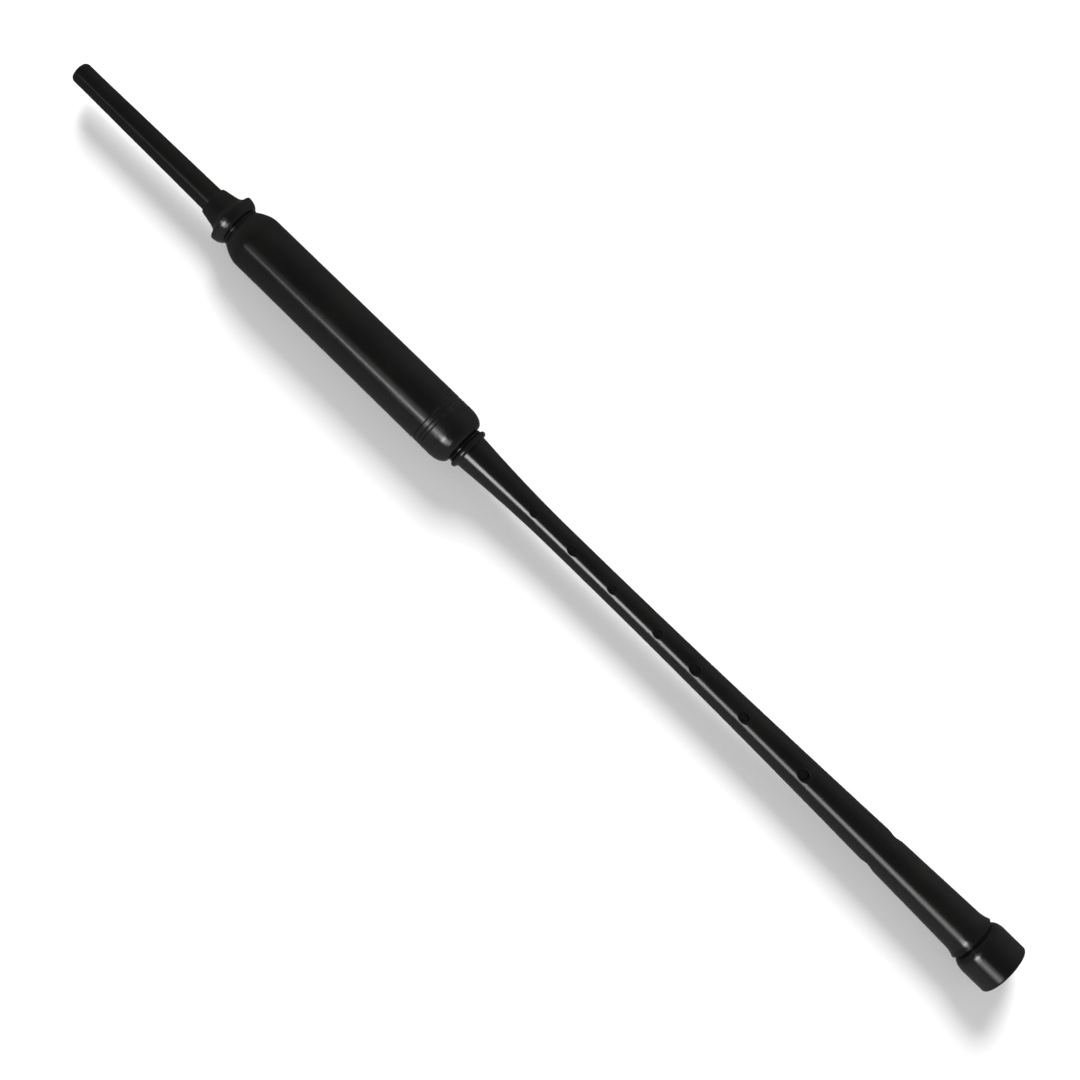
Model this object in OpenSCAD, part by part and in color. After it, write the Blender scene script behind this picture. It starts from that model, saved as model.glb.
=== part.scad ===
// Bagpipe practice chanter: a lower pipe with finger holes, a hemped tenon and a plastic reed,
// and a top section with a reed chamber, a flared mount and a plug-in mouthpiece.
//
// Millimetres. The origin is the centre of the sole's flat end, +X runs up the bore to the
// mouthpiece, and +Z points out of the finger holes. Every piece is turned about the X axis
// except the reed's blades and bridle.

/* [Sole] */
// Largest radius of the sole
sole_r = 11.8; // [11:0.1:12.2]
// Length of the sole along the bore
sole_length = 16.8; // [15:0.1:17.5]
// Radius of the opening in the sole's flat end
sole_opening_r = 4.5; // [3.5:0.1:5.5]
// Thickness of the end wall around that opening
sole_wall = 4; // [3:0.1:6]

/* [Chanter] */
// Distance from the sole's flat end to the shoulder under the top section
chanter_length = 295.5; // [290:0.5:305]
// Radius of the narrow waist under the upper hand
waist_r = 5.5; // [5:0.1:6]
// Radius just above the flared foot
foot_r = 9.4; // [8.5:0.05:9.6]
// Radius of the sharp edge of the foot
foot_edge_r = 10.55; // [10.2:0.05:11.5]
// Radius just below the collar bead
neck_r = 7.45; // [7.3:0.05:7.7]
// Radius at the crest of the collar bead
bead_r = 9.15; // [8.8:0.05:10]
// Radius of the air bore
bore_r = 2.2; // [2.1:0.05:2.5]

/* [Holes] */
// Distances down from the shoulder to the seven finger holes, upper hand first
finger_hole_drops = [37.6, 58.6, 80.3, 105.2, 125.5, 152.2, 184.5]; // [34:0.1:200]
// Lengths of the dished mouths of those holes
finger_hole_mouths = [4.2, 5.2, 5.0, 5.2, 6.0, 6.1, 6.6]; // [3.6:0.1:7]
// Distance down from the shoulder to the thumb hole, on the back
thumb_hole_drop = 29.5; // [25:0.1:32]
// Length of the thumb hole's dished mouth
thumb_hole_mouth = 4.6; // [3.6:0.1:6]
// Distance down from the shoulder to the pair of sound holes, one on each side
sound_hole_drop = 227.7; // [215:0.1:240]
// Length of a sound hole's dished mouth
sound_hole_mouth = 6.8; // [5:0.1:7]

/* [Tenon] */
// Length of the tenon that enters the top section
tenon_length = 24; // [20:0.5:28]
// Radius of the bare tenon
tenon_r = 6.3; // [6:0.05:6.4]
// Radius of the reed seat bored into the tenon's end
reed_seat_r = 3; // [2.8:0.05:3.2]
// Depth of the reed seat
reed_seat_depth = 9; // [7:0.5:12]

/* [Reed chamber] */
// Length of the reed chamber along the bore
chamber_length = 123.5; // [118:0.1:130]
// Largest radius, at the top of the lower dome
chamber_r = 12.25; // [11.9:0.05:13]
// Radius at the upper end, before the shoulder rounds in
chamber_top_r = 11.85; // [11.5:0.05:11.9]
// Radius of the chamber's bore, which is also the tenon's socket
socket_r = 6.75; // [6.7:0.05:7.2]

/* [Projecting mount] */
// Length of the mount that shows above the reed chamber
mount_length = 15.2; // [14:0.1:18]
// Radius of the mount's sharp flared edge
mount_edge_r = 10.85; // [10:0.05:11.5]
// Radius of the mount's upper end, around the mouthpiece
mount_top_r = 6.15; // [5.9:0.05:6.5]

/* [Mouthpiece] */
// Length of the mouthpiece that shows above the mount
mouthpiece_length = 73.8; // [60:0.1:80]
// Radius of the mouthpiece at the mount
mouthpiece_r = 5.3; // [5:0.05:5.6]
// Radius of the straight stretch at the mouthpiece's tip
mouthpiece_tip_r = 4.5; // [4:0.05:4.6]
// Length of that straight stretch
mouthpiece_tip_length = 7; // [5:0.5:12]
// Radius of the mouthpiece's bore
blow_bore_r = 2.25; // [1.8:0.05:2.5]

/* [Reed] */
// Distance from the tenon's end to the reed's lips
reed_reach = 38; // [34:0.5:42]
// Half the width of the blades at the lips
reed_lip_w = 5.2; // [4.6:0.1:5.4]
// Half the gap between the blades at the middle of the lips
reed_lip_gap = 0.45; // [0.3:0.05:0.8]

/* [Hidden] */
$fn = 96;

// Clearances: where two sections meet end to end, round each hemp winding, and along a glue line
parting_gap = 0.1;
hemp_gap = 0.05;
glue_gap = 0.05;

// Chamfers at the tenons' ends, and the softened ends of windings and small flanges
tenon_chamfer = 0.5;
soft_end = 0.3;

// How far a cutting shape runs past the face it opens
past = 1;

// Stations along X
shoulder_x = chanter_length;
tenon_x = shoulder_x + tenon_length;
reed_seat_x = tenon_x - reed_seat_depth;
chamber_x = shoulder_x + parting_gap;
chamber_top_x = shoulder_x + chamber_length;
mount_top_x = chamber_top_x + mount_length;
mouthpiece_x = mount_top_x + parting_gap;
tip_x = mount_top_x + mouthpiece_length;

// Sole
sole_tenon_r = 7;
sole_edge_round = 1.1;
sole_shoulder = 5.2;
sole_neck_r = 9.4;

// Chanter outline
sole_tenon_x = sole_wall + glue_gap;
foot_flare = 6.2;
foot_power = 2.4;
foot_groove = 1.7;
foot_x = sole_length + foot_groove + foot_flare;
waist_low_x = shoulder_x - 60.5;
waist_high_x = shoulder_x - 50.5;
neck_x = shoulder_x - 3.1;
waist_softness = 6.2;
neck_power = 1.9;
bead_round = 1.25;
bead_x = shoulder_x - bead_round;
shoulder_r = 7.65;

// Dished mouths: drop of the dish per unit of its width, and the share left as a straight hole
finger_dish = 0.6;
sound_dish = 1;
straight_share = 0.62;

// Hemp windings, in grooves cut round the tenons
tenon_groove = [shoulder_x + 3, tenon_x - 4];
tenon_groove_r = 5.7;
mouthpiece_tenon = 23.8;
mouthpiece_tenon_r = 4.4;
mouthpiece_socket_r = 4.7;
mouthpiece_groove = [mouthpiece_x - mouthpiece_tenon + 3, mouthpiece_x - 4];
mouthpiece_groove_r = 3.8;

// Reed chamber outline
rim_width = 1.1;
rim_r = 8.15;
rim_groove = 0.25;
rim_groove_r = 7.8;
dome_r = 8.35;
dome_x = chamber_x + rim_width + rim_groove;
dome_length = 7.05;
cylinder_x = dome_x + dome_length;
engraved_drops = [13.8, 15.4, 17.7];
engraved_width = 0.7;
engraved_depth = 0.35;
shoulder_length = 8.4;
shoulder_power = 1.7;
chamber_neck_r = 8.4;
mount_socket_r = 6;
mount_socket_depth = 15;
mount_tenon_x = chamber_top_x - mount_socket_depth + past;

// Projecting mount
mount_ring_r = 8.75;
mount_ring_width = 0.9;
mount_bulge = 4.8;
mount_bulge_r = 8.5;
mount_stop = 5;
lip_flare = 2.8;
lip_power = 9;

// Mouthpiece
tip_round = 2;

// Reed
reed_flange_r = 3.7;
reed_flange = 2;
reed_spigot_r = 2.55;
reed_seat_groove = [reed_seat_x + 1.2, tenon_x - 1.5];
reed_seat_groove_r = 2.25;
reed_tube_r = 1.3;
reed_head_r = 2.85;
reed_head_top_r = 2.1;
reed_head = 13;
flange_x = tenon_x + hemp_gap;
reed_head_x = tenon_x + reed_head;
blade_base_x = flange_x + reed_flange + hemp_gap;
blade_round = 8.5;
blade_tip_x = tenon_x + reed_reach;
blade_base_r = 2.95;
blade_base_t = 0.9;
blade_tip_t = 0.35;
blade_flatten = 1.3;
blade_parting = 0.02;
blade_sides = 16;
blade_steps = 12;
binding_inset = 1;
binding = [blade_base_x + binding_inset, blade_base_x + blade_round - binding_inset];
binding_t = 0.65;
bridle = [blade_base_x + 15, blade_base_x + 17.6];
bridle_t = 1.1;
bridle_gap = 0.03;

plastic = [0.07, 0.07, 0.07];
hemp = [0.72, 0.55, 0.3];
reed_plastic = [0.9, 0.87, 0.76];
thread = [0.55, 0.1, 0.08];
rubber = [0.12, 0.12, 0.13];

// Turns an outline of [x, radius] points about the X axis
module turned(outline) {
    rotate([0, 90, 0]) rotate_extrude() polygon([for (p = outline) [p[1], p[0]]]);
}

// A straight bore about the X axis from x0 to x1
module bore(x0, x1, r) {
    translate([x0, 0, 0]) rotate([0, 90, 0]) cylinder(h = x1 - x0, r = r);
}

// A winding between two stations, with softened ends
module winding(span, r_in, r_out) {
    low = span[0] + hemp_gap;
    high = span[1] - hemp_gap;
    turned([
        [low, r_in], [low, r_out - soft_end], [low + soft_end, r_out],
        [high - soft_end, r_out], [high, r_out - soft_end], [high, r_in]
    ]);
}

// Points of an ellipse about (cx, cr) with half-axes a along X and b across it
function ellipse_arc(cx, cr, a, b, from, to, steps) =
    [for (i = [0:steps]) let (t = from + (to - from) * i / steps) [cx + a * cos(t), cr + b * sin(t)]];

// Slope of the lower taper, far from where it runs out into the waist
taper_rise = foot_r - waist_r;
taper_slope = sqrt(taper_rise * taper_rise + 2 * taper_rise * waist_softness) / (waist_low_x - foot_x);

// Outside radius of the chanter between its foot and its neck
function chanter_r(x) =
    x < waist_low_x
        ? waist_r - waist_softness
            + sqrt(pow(waist_softness, 2) + pow(taper_slope * (waist_low_x - x), 2))
    : x < waist_high_x ? waist_r
    : waist_r + (neck_r - waist_r) * pow((x - waist_high_x) / (neck_x - waist_high_x), neck_power);

// Concave flare from the taper out to the foot's sharp edge
function foot_flare_r(x) =
    foot_r + (foot_edge_r - foot_r) * pow((foot_x - x) / foot_flare, foot_power);

// Rounded shoulder of the reed chamber, as u runs from 0 at its start to 1 at the neck
function chamber_shoulder_r(u) =
    chamber_top_r - (chamber_top_r - chamber_neck_r) * pow(u, shoulder_power);

// Tapering mount with a lip that flares out to its sharp edge
function mount_flare_r(u) =
    mount_top_r + (mount_edge_r - mount_top_r - lip_flare) * u + lip_flare * pow(u, lip_power);

// A dished hole drilled from +Z down into the bore at station x
module dished_hole(x, mouth, dish) {
    r = chanter_r(x);
    hole_r = straight_share * mouth / 2;
    drop = dish * (mouth / 2 - hole_r);
    translate([x, 0, 0]) {
        cylinder(h = r, r = hole_r);
        translate([0, 0, r - drop]) cylinder(h = drop + past, r1 = hole_r, r2 = mouth / 2 + past / dish);
    }
}

module sole() {
    edge = sole_edge_round;
    shoulder_start = sole_length - sole_shoulder;
    color(plastic) difference() {
        turned(concat(
            ellipse_arc(edge, sole_r - edge, edge, edge, 180, 90, 6),
            ellipse_arc(shoulder_start, sole_neck_r, sole_shoulder, sole_r - sole_neck_r, 90, 0, 10),
            [[sole_length, 0], [0, 0]]
        ));
        bore(-past, sole_wall + past, sole_opening_r);
        bore(sole_wall, sole_length + past, sole_tenon_r + glue_gap);
    }
}

module chanter_body() {
    foot = [for (i = [0:8]) let (x = foot_x - foot_flare * (1 - i / 8)) [x, foot_flare_r(x)]];
    taper = [for (i = [1:16]) let (x = foot_x + (waist_low_x - foot_x) * i / 16) [x, chanter_r(x)]];
    upper = [for (i = [0:10]) let (x = waist_high_x + (neck_x - waist_high_x) * i / 10) [x, chanter_r(x)]];
    color(plastic) difference() {
        union() {
            turned(concat(
                [[sole_tenon_x, 0], [sole_tenon_x, sole_tenon_r], [sole_length, sole_tenon_r]],
                [[sole_length, sole_neck_r]],
                foot, taper, upper,
                [[bead_x, shoulder_r], [shoulder_x, shoulder_r], [shoulder_x, tenon_r]],
                [[tenon_groove[0], tenon_r], [tenon_groove[0], tenon_groove_r]],
                [[tenon_groove[1], tenon_groove_r], [tenon_groove[1], tenon_r]],
                [[tenon_x - tenon_chamfer, tenon_r], [tenon_x, tenon_r - tenon_chamfer], [tenon_x, 0]]
            ));
            translate([bead_x, 0, 0]) rotate([0, 90, 0])
                rotate_extrude() translate([bead_r - bead_round, 0]) circle(r = bead_round, $fn = 48);
        }
        bore(0, tenon_x + past, bore_r);
        bore(reed_seat_x, tenon_x + past, reed_seat_r);
        for (i = [0:len(finger_hole_drops) - 1])
            dished_hole(shoulder_x - finger_hole_drops[i], finger_hole_mouths[i], finger_dish);
        rotate([180, 0, 0]) dished_hole(shoulder_x - thumb_hole_drop, thumb_hole_mouth, finger_dish);
        for (side = [90, -90])
            rotate([side, 0, 0]) dished_hole(shoulder_x - sound_hole_drop, sound_hole_mouth, sound_dish);
    }
}

module tenon_hemp() {
    color(hemp) winding(tenon_groove, tenon_groove_r + hemp_gap, socket_r - hemp_gap);
}

module reed_chamber() {
    half_rim = rim_width / 2;
    half_line = engraved_width / 2;
    rim = ellipse_arc(chamber_x + half_rim, rim_r - half_rim, half_rim, half_rim, 180, 0, 8);
    dome = ellipse_arc(cylinder_x, dome_r, dome_length, chamber_r - dome_r, 180, 90, 12);
    lines = [for (drop = engraved_drops) let (x = shoulder_x + drop)
        each [[x - half_line, chamber_r], [x, chamber_r - engraved_depth], [x + half_line, chamber_r]]];
    shoulder = [for (i = [0:12]) let (u = i / 12)
        [chamber_top_x - shoulder_length * (1 - u), chamber_shoulder_r(u)]];
    color(plastic) difference() {
        turned(concat(
            [[chamber_x, 0]], rim, [[dome_x, rim_groove_r]], dome, lines, shoulder,
            [[chamber_top_x, 0]]
        ));
        bore(chamber_x - past, chamber_top_x - mount_socket_depth, socket_r);
        bore(chamber_x, chamber_top_x + past, mount_socket_r);
    }
}

module projecting_mount() {
    half = mount_ring_width / 2;
    ring = ellipse_arc(chamber_top_x + half, mount_ring_r - half, half, half, 180, 0, 8);
    edge_x = chamber_top_x + mount_ring_width + mount_bulge;
    bulge = ellipse_arc(edge_x, mount_bulge_r, mount_bulge, mount_edge_r - mount_bulge_r, 180, 90, 10);
    flare = [for (i = [1:14]) let (u = pow(1 - i / 14, 0.6))
        [mount_top_x - (mount_top_x - edge_x) * u, mount_flare_r(u)]];
    tenon_r = mount_socket_r - glue_gap;
    color(plastic) difference() {
        turned(concat(
            [[mount_tenon_x, 0], [mount_tenon_x, tenon_r], [chamber_top_x, tenon_r]],
            ring, bulge, flare, [[mount_top_x, 0]]
        ));
        bore(mount_tenon_x - past, mount_top_x + past, blow_bore_r);
        bore(mount_tenon_x + mount_stop, mount_top_x + past, mouthpiece_socket_r);
    }
}

module mouthpiece() {
    tenon_end_x = mouthpiece_x - mouthpiece_tenon;
    color(plastic) difference() {
        turned(concat(
            [[tenon_end_x, 0], [tenon_end_x, mouthpiece_tenon_r - tenon_chamfer]],
            [[tenon_end_x + tenon_chamfer, mouthpiece_tenon_r]],
            [[mouthpiece_groove[0], mouthpiece_tenon_r], [mouthpiece_groove[0], mouthpiece_groove_r]],
            [[mouthpiece_groove[1], mouthpiece_groove_r], [mouthpiece_groove[1], mouthpiece_tenon_r]],
            [[mouthpiece_x, mouthpiece_tenon_r], [mouthpiece_x, mouthpiece_r]],
            [[tip_x - mouthpiece_tip_length - tip_round, mouthpiece_tip_r]],
            ellipse_arc(tip_x - tip_round, mouthpiece_tip_r - tip_round, tip_round, tip_round, 90, 0, 8),
            [[tip_x, 0]]
        ));
        bore(tenon_end_x - past, tip_x + past, blow_bore_r);
    }
}

module mouthpiece_hemp() {
    color(hemp) winding(mouthpiece_groove, mouthpiece_groove_r + hemp_gap, mouthpiece_socket_r - hemp_gap);
}

// Bend of a blade at station x, from 0 where it is still half a tube to 1 at the lips
blade_bend_x = blade_base_x + blade_round;
function blade_bend(x) = max(0, (x - blade_bend_x) / (blade_tip_x - blade_bend_x));

// Inside half-width, inside height and thickness of a blade at station x
function blade_w(x) = blade_base_r + (reed_lip_w - blade_base_r) * sin(90 * blade_bend(x));
function blade_h(x) =
    reed_lip_gap + (blade_base_r - reed_lip_gap) * pow(cos(90 * blade_bend(x)), blade_flatten);
function blade_t(x) = blade_base_t + (blade_tip_t - blade_base_t) * blade_bend(x);

// Half an oval across a blade at station x, grown outwards by g; it flattens towards the lips
function blade_arc(x, g, from, to, steps) =
    [for (i = [0:steps]) let (a = from + (to - from) * i / steps, s = sin(a))
        [x, (blade_w(x) + g) * cos(a), (blade_h(x) + g) * sign(s) * pow(abs(s), 1 + blade_bend(x))]];

// Whole oval round both blades at station x, g clear of them and moved along X by shift
function blade_oval(x, g, turn, shift) =
    [for (p = blade_arc(x, blade_t(x) + g, 0, 360 * (turn - 1) / turn, turn - 1)) p + [shift, 0, 0]];

// Closed skin over a row of rings that all have the same number of points
module lofted(rings) {
    count = len(rings[0]);
    last = len(rings) - 1;
    walls = [for (r = [0:last - 1], i = [0:count - 1]) let (j = (i + 1) % count)
        each [[r * count + i, (r + 1) * count + j, r * count + j],
            [r * count + i, (r + 1) * count + i, (r + 1) * count + j]]];
    half = count / 2;
    caps = [for (i = [0:half - 2]) each [
        [i, i + 1, count - 1 - i],
        [i + 1, count - 2 - i, count - 1 - i],
        [last * count + i, last * count + count - 1 - i, last * count + i + 1],
        [last * count + i + 1, last * count + count - 1 - i, last * count + count - 2 - i]
    ]];
    polyhedron(points = [for (ring = rings) each ring], faces = concat(walls, caps), convexity = 4);
}

// One blade: half a tube at the binding that opens into a wide flat lip
module blade() {
    stations = [for (i = [0:blade_steps]) blade_base_x + (blade_tip_x - blade_base_x) * i / blade_steps];
    translate([0, 0, blade_parting]) lofted([for (x = stations) concat(
        blade_arc(x, blade_t(x), 0, 180, blade_sides),
        blade_arc(x, 0, 180, 0, blade_sides)
    )]);
}

module reed_blade_front() {
    color(reed_plastic) blade();
}

module reed_blade_back() {
    color(reed_plastic) rotate([180, 0, 0]) blade();
}

module reed_body() {
    color(reed_plastic) difference() {
        turned([
            [reed_seat_x + hemp_gap, 0], [reed_seat_x + hemp_gap, reed_spigot_r],
            [reed_seat_groove[0], reed_spigot_r], [reed_seat_groove[0], reed_seat_groove_r],
            [reed_seat_groove[1], reed_seat_groove_r], [reed_seat_groove[1], reed_spigot_r],
            [flange_x, reed_spigot_r], [flange_x, reed_flange_r - soft_end],
            [flange_x + soft_end, reed_flange_r], [flange_x + reed_flange - soft_end, reed_flange_r],
            [flange_x + reed_flange, reed_flange_r - soft_end], [flange_x + reed_flange, reed_head_r],
            [binding[1], reed_head_r], [reed_head_x, reed_head_top_r],
            [reed_head_x, 0]
        ]);
        bore(reed_seat_x, reed_head_x + past, reed_tube_r);
    }
}

module reed_seat_hemp() {
    color(hemp) winding(reed_seat_groove, reed_seat_groove_r + glue_gap, reed_seat_r - hemp_gap);
}

module reed_binding() {
    r_in = blade_base_r + blade_base_t + blade_parting + glue_gap;
    color(thread) winding(binding, r_in, r_in + binding_t);
}

module reed_bridle() {
    steps = 4;
    turn = 48;
    stations = [for (i = [0:steps]) bridle[0] + (bridle[1] - bridle[0]) * i / steps];
    color(rubber) difference() {
        lofted([for (x = stations) blade_oval(x, bridle_gap + bridle_t, turn, 0)]);
        lofted([for (i = [0:steps]) let (shift = i == 0 ? -past : i == steps ? past : 0)
            blade_oval(stations[i], bridle_gap, turn, shift)]);
    }
}

sole();
chanter_body();
tenon_hemp();
reed_body();
reed_seat_hemp();
reed_blade_front();
reed_blade_back();
reed_binding();
reed_bridle();
reed_chamber();
projecting_mount();
mouthpiece();
mouthpiece_hemp();
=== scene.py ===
"""Looks of a bagpipe practice chanter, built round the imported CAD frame.

Sizes are in millimetres and meshes are made in metres, in the frame's own axes: +X runs up the bore
towards the mouthpiece and +Z points out of the finger holes. Angles round the bore are in degrees,
start at +Y and turn towards +Z.
"""

import math

import bmesh
import bpy
from mathutils import Matrix, Vector


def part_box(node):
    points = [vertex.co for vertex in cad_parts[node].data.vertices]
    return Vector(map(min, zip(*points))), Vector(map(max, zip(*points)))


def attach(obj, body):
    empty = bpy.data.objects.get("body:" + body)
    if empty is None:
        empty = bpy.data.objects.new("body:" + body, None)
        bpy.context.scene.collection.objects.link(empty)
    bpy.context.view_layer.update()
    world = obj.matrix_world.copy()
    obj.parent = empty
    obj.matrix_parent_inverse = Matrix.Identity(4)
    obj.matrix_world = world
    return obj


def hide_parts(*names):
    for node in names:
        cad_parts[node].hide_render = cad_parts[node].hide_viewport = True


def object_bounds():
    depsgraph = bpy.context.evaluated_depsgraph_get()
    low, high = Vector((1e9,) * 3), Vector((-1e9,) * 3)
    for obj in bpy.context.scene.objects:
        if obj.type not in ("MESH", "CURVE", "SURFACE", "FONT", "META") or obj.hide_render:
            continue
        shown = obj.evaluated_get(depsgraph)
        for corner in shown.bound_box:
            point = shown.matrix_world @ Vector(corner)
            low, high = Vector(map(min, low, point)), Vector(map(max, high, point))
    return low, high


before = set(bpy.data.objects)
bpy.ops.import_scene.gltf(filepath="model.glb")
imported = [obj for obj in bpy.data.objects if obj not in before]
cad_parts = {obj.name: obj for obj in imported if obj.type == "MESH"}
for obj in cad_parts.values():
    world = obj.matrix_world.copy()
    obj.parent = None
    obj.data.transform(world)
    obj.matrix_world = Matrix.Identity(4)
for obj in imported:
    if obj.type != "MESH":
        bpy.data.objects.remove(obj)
cad_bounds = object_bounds()

MM = 0.001

# How many points a ring has, round the outside of a turned piece and round its bore
AROUND = 128
BORE_AROUND = 64

# Sharp corners of an outline are rounded, but take no more than a share of the stretch on each side
CORNER_ANGLE = math.radians(14)
SHARPEST_CORNER = 2.4
CORNER_STEPS = 4
EDGE_ROUND = 0.12
ROUNDED_SHARE = 0.42
LONGEST_STEP = 4.0

# Beside each rounding come two rings that hold the flats flat: how far off, and how worn
SUPPORTS = ((0.06, 0.5), (0.5, 0.0))
SUPPORT_SHARE = 0.48

# A hole replaces a window of this many cells, along X and round the pipe, in the outside and in the bore
WINDOW_LENGTH = 16
WINDOW_WIDTH = 28
WINDOW_MARGIN = 1.2
WINDOW_SLACK = 0.001
PIPE_STEP = 1.5

# Where the rings of a hole lie, as shares of the way over the skirt round it, down its dish, down its wall
# and along the bore
SKIRT_SHARES = (0.3, 0.6, 0.85, 1.0)
DISH_SHARES = (0.1, 0.55, 1.0)
WALL_SHARES = (0.25, 0.5, 0.75, 1.0)
BORE_SHARES = (0.35, 0.7)


def span(node):
    """Stations of a CAD node's two ends and its largest radius."""
    low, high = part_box(node)
    return round(low.x / MM, 2), round(high.x / MM, 2), round(high.z / MM, 2)


SOLE_END, SOLE_TOP, SOLE_R = span("sole")
CHANTER_END, TENON_TOP, _ = span("chanter_body")
CHAMBER_END, CHAMBER_TOP, CHAMBER_R = span("reed_chamber")
MOUNT_END, MOUNT_TOP, MOUNT_R = span("projecting_mount")
MOUTHPIECE_END, TIP, _ = span("mouthpiece")
REED_END, REED_HEAD_TOP, REED_FLANGE_R = span("reed_body")
BLADE_BASE, BLADE_TIP, _ = span("reed_blade_front")

# Where two sections meet end to end
PARTING_GAP = 0.1

# Sole
SOLE_OPENING_R = 4.5
SOLE_WALL = 4.0
SOLE_SOCKET_R = 7.05
SOLE_EDGE = 1.1
SOLE_SHOULDER = 5.2
SOLE_NECK_R = 9.4

# Chanter
SHOULDER = CHAMBER_END - PARTING_GAP
BORE_R = 2.2
LOWER_TENON_R = 7.0
FOOT_EDGE_X = SOLE_TOP + 1.7
FOOT_FLARE = 6.2
FOOT_TOP = FOOT_EDGE_X + FOOT_FLARE
FOOT_EDGE_R = 10.55
FOOT_R = 9.4
FOOT_POWER = 2.4
WAIST_LOW = SHOULDER - 60.5
WAIST_HIGH = SHOULDER - 50.5
WAIST_R = 5.5
WAIST_SOFTNESS = 6.2
NECK = SHOULDER - 3.1
NECK_R = 7.45
NECK_POWER = 1.9
BEAD_ROUND = 1.25
BEAD_X = SHOULDER - BEAD_ROUND
BEAD_R = 9.15
TENON_R = 6.3
TENON_CHAMFER = 0.5
TENON_GROOVE = (SHOULDER + 3, TENON_TOP - 4)
TENON_GROOVE_R = 5.7
REED_SEAT = TENON_TOP - 9
REED_SEAT_R = 3.0

# The bead's arc starts this far clear of the neck
BEAD_GAP_DEGREES = 3

# Holes: drops down from the shoulder and lengths of the dished mouths, upper hand first
FINGER_HOLES = (
    (37.6, 4.2), (58.6, 5.2), (80.3, 5.0), (105.2, 5.2), (125.5, 6.0), (152.2, 6.1), (184.5, 6.6),
)
THUMB_HOLE = (29.5, 4.6)
SOUND_HOLE = (227.7, 6.8)
FINGER_DISH = 0.6
SOUND_DISH = 1.0
STRAIGHT_SHARE = 0.62
MOUTH_ROUND = 0.12

# How worn a hole's rounded edges are, at its mouth and where its dish meets its straight wall
MOUTH_WEAR = 0.4
FOOT_WEAR = 0.3

# How drilled a surface is: not at all outside, dull in a hole, and dull in an air way, whose colour is
# painted paler as light inside the holes
OUTSIDE, IN_HOLE, IN_AIRWAY = 0.0, 0.5, 1.0
AIRWAY_R = 2.3

# Reed chamber
RIM_WIDTH = 1.1
RIM_R = 8.15
RIM_GROOVE = 0.25
RIM_GROOVE_R = 7.8
DOME_END = CHAMBER_END + RIM_WIDTH + RIM_GROOVE
DOME_LENGTH = 7.05
DOME_R = 8.35
ENGRAVED_DROPS = (13.8, 15.4, 17.7)
ENGRAVED_HALF = 0.35
ENGRAVED_DEPTH = 0.35
CHAMBER_TOP_R = 11.85
CHAMBER_SHOULDER = 8.4
CHAMBER_SHOULDER_POWER = 1.7
CHAMBER_NECK_R = 8.4
SOCKET_R = 6.75
MOUNT_SOCKET = CHAMBER_TOP - 15
MOUNT_SOCKET_R = 6.0

# Projecting mount
MOUNT_TENON_R = 5.95
MOUNT_RING = 0.9
MOUNT_RING_R = 8.75
MOUNT_BULGE = 4.8
MOUNT_BULGE_R = 8.5
MOUNT_TOP_R = 6.15
LIP_FLARE = 2.8
LIP_POWER = 9
MOUNT_STOP = MOUNT_END + 5
MOUTHPIECE_SOCKET_R = 4.7
BLOW_BORE_R = 2.25

# Mouthpiece
MOUTHPIECE_BASE = MOUNT_TOP + PARTING_GAP
MOUTHPIECE_R = 5.3
MOUTHPIECE_TENON_R = 4.4
MOUTHPIECE_GROOVE = (MOUTHPIECE_END + 3, MOUTHPIECE_BASE - 4)
MOUTHPIECE_GROOVE_R = 3.8
MOUTHPIECE_TIP_R = 4.5
MOUTHPIECE_STRAIGHT = 7
TIP_ROUND = 2

# Reed
REED_SPIGOT_R = 2.55
REED_GROOVE = (REED_END + 1.15, TENON_TOP - 1.5)
REED_GROOVE_R = 2.25
REED_FLANGE = (TENON_TOP + 0.05, TENON_TOP + 2.05)
REED_HEAD_R = 2.85
REED_HEAD_TOP_R = 2.1
REED_TUBE_R = 1.3
BLADE_STRAIGHT = 8.5
BLADE_BASE_R = 2.95
BLADE_BASE_T = 0.9
BLADE_LIP_W = 5.2
BLADE_LIP_GAP = 0.45
BLADE_LIP_T = 0.35
BLADE_FLATTEN = 1.3
BLADE_PARTING = 0.02
BLADE_BEND = BLADE_BASE + BLADE_STRAIGHT
BLADE_STATIONS = 56
BLADE_ACROSS = 40
BLADE_BEVEL = 0.07
BRIDLE_T = 1.1
BRIDLE_GAP = 0.03
BRIDLE_CORNER = 0.3
BRIDLE_AROUND = 96

# Windings: the radius of each one's inside, and the gap between its core's ends and the CAD ring's
WINDING_GAP = 0.05
WINDING_INNER = {
    "tenon_hemp": TENON_GROOVE_R + WINDING_GAP,
    "mouthpiece_hemp": MOUTHPIECE_GROOVE_R + WINDING_GAP,
    "reed_seat_hemp": REED_GROOVE_R + WINDING_GAP,
    "reed_binding": 3.92,
}
CORE_EDGE = 0.1

# Thread: its sides, the steps along it, the length of a twist, how deep its two plies part, and its taper
STRAND_SIDES = 8
STRAND_STEP = 0.34
STRAND_TWIST = 1.9
STRAND_LOBE = 0.2
STRAND_TAPER = 1.6

# How thread lies on its core, in thread radii
CORE_DEPTH = 1.7
THREAD_PITCH = 1.9
THREAD_INSET = 1.12
THREAD_WANDER = 0.1
CROSSING_LIFT = 0.22
CROSSING_SIZE = 0.7
CROSSING_DEPTH = 0.75
CROSSING_WANDER = 0.4


# ---------------------------------------------------------------- camera, light and floor

# The camera looks straight down, turned so that the mouthpiece points up and to the left
CAMERA_X = 249.05
CAMERA_Y = 6.0
CAMERA_HEIGHT = 845
CAMERA_TURN = math.radians(224.2)
CAMERA_LENS = 71.6
FLOOR_HALF = 4000

# How bright the world is: to matt surfaces, and to gloss from above and from the -Y and +Y sides
FILL = 0.29
GLOSS_TOP = 0.03
GLOSS_SIDES = (0.15, 0.37)

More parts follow.
